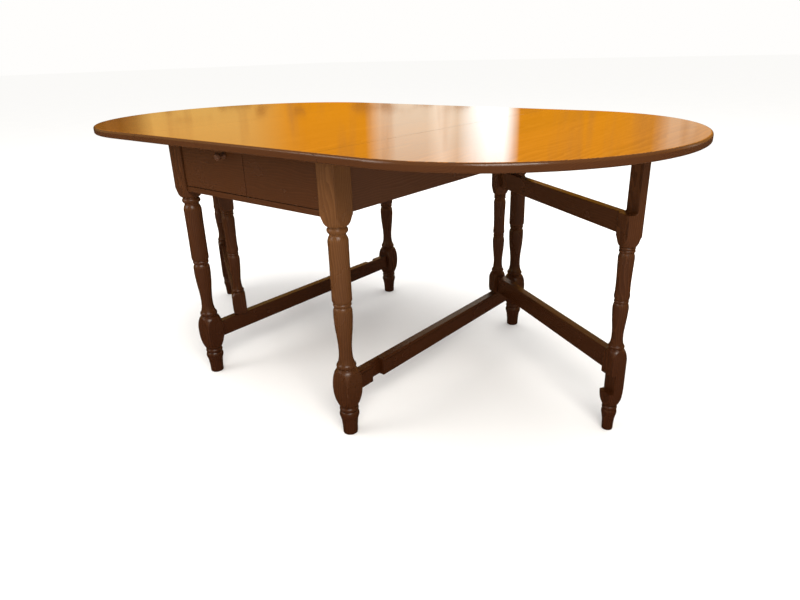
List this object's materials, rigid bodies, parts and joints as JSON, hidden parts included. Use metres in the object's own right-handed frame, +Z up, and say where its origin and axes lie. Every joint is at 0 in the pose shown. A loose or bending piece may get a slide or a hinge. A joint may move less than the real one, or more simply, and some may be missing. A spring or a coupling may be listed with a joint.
{
  "type": "drop leaf table",
  "caption": "Oval gateleg drop leaf table with turned legs, two hinged leaves held up by swinging gates, and a small end drawer.",
  "frame": {"origin": "on the floor under the middle of the top", "axes": "+Z up, +X along the hinge lines away from the drawer end, +Y towards the left-hand leaf as seen from the drawer end"},
  "size_m": [1.1, 1.9478, 0.76],
  "materials": {
    "polished_top": "high gloss",
    "frame_wood": "satin",
    "inner_wood": "raw",
    "knob_wood": "satin",
    "hinge_metal": "aged"
  },
  "bodies": {
    "drawer_body": {"drawer_back": "inner_wood", "drawer_bottom": "inner_wood", "drawer_front": "frame_wood", "drawer_knob": "knob_wood", "drawer_knob_screw": "hinge_metal", "drawer_side_left": "inner_wood", "drawer_side_right": "inner_wood"},
    "frame_body": {"drawer_kicker": "inner_wood", "drawer_rail_lower": "frame_wood", "drawer_rail_upper": "frame_wood", "drawer_runner_left": "inner_wood", "drawer_runner_right": "inner_wood", "end_apron": "frame_wood", "fixed_front_panel": "frame_wood", "front_muntin": "inner_wood", "hinge_fixed_flap_left_1": "hinge_metal", "hinge_fixed_flap_left_2": "hinge_metal", "hinge_fixed_flap_left_3": "hinge_metal", "hinge_fixed_flap_right_1": "hinge_metal", "hinge_fixed_flap_right_2": "hinge_metal", "hinge_fixed_flap_right_3": "hinge_metal", "hinge_fixed_screws": "hinge_metal", "hinge_pins_left": "hinge_metal", "hinge_pins_right": "hinge_metal", "leg_drawer_left": "frame_wood", "leg_drawer_right": "frame_wood", "leg_far_left": "frame_wood", "leg_far_right": "frame_wood", "side_apron_left": "frame_wood", "side_apron_right": "frame_wood", "stretcher_left": "frame_wood", "stretcher_right": "frame_wood", "top_button_screws": "hinge_metal", "top_buttons": "inner_wood", "top_centre": "polished_top"},
    "gate_left_body": {"gate_leg_left": "frame_wood", "gate_lower_rail_left": "frame_wood", "gate_pivots_left": "inner_wood", "gate_post_left": "frame_wood", "gate_upper_rail_left": "frame_wood"},
    "gate_right_body": {"gate_leg_right": "frame_wood", "gate_lower_rail_right": "frame_wood", "gate_pivots_right": "inner_wood", "gate_post_right": "frame_wood", "gate_upper_rail_right": "frame_wood"},
    "leaf_left_body": {"gate_stop_left": "inner_wood", "gate_stop_screws_left": "hinge_metal", "hinge_leaf_flap_left_1": "hinge_metal", "hinge_leaf_flap_left_2": "hinge_metal", "hinge_leaf_flap_left_3": "hinge_metal", "hinge_leaf_screws_left": "hinge_metal", "leaf_left": "polished_top"},
    "leaf_right_body": {"gate_stop_right": "inner_wood", "gate_stop_screws_right": "hinge_metal", "hinge_leaf_flap_right_1": "hinge_metal", "hinge_leaf_flap_right_2": "hinge_metal", "hinge_leaf_flap_right_3": "hinge_metal", "hinge_leaf_screws_right": "hinge_metal", "leaf_right": "polished_top"}
  },
  "joints": [
    {"name": "gate_right_swing", "type": "hinge", "parent": "frame_body", "child": "gate_right_body", "pos_m": [0.318, -0.291, 0.38], "axis": [0, 0, 1], "range_deg": [-58, 0]},
    {"name": "gate_left_swing", "type": "hinge", "parent": "frame_body", "child": "gate_left_body", "pos_m": [-0.318, 0.291, 0.38], "axis": [0, 0, 1], "range_deg": [-58, 0]},
    {"name": "leaf_right_lift", "type": "hinge", "parent": "frame_body", "child": "leaf_right_body", "pos_m": [0, -0.35, 0.744], "axis": [-1, 0, 0], "range_deg": [0, 1]},
    {"name": "leaf_left_lift", "type": "hinge", "parent": "frame_body", "child": "leaf_left_body", "pos_m": [0, 0.35, 0.744], "axis": [1, 0, 0], "range_deg": [0, 1]},
    {"name": "drawer_slide", "type": "slide", "parent": "frame_body", "child": "drawer_body", "axis": [-1, 0, 0], "range_m": [0, 0.3]}
  ]
}
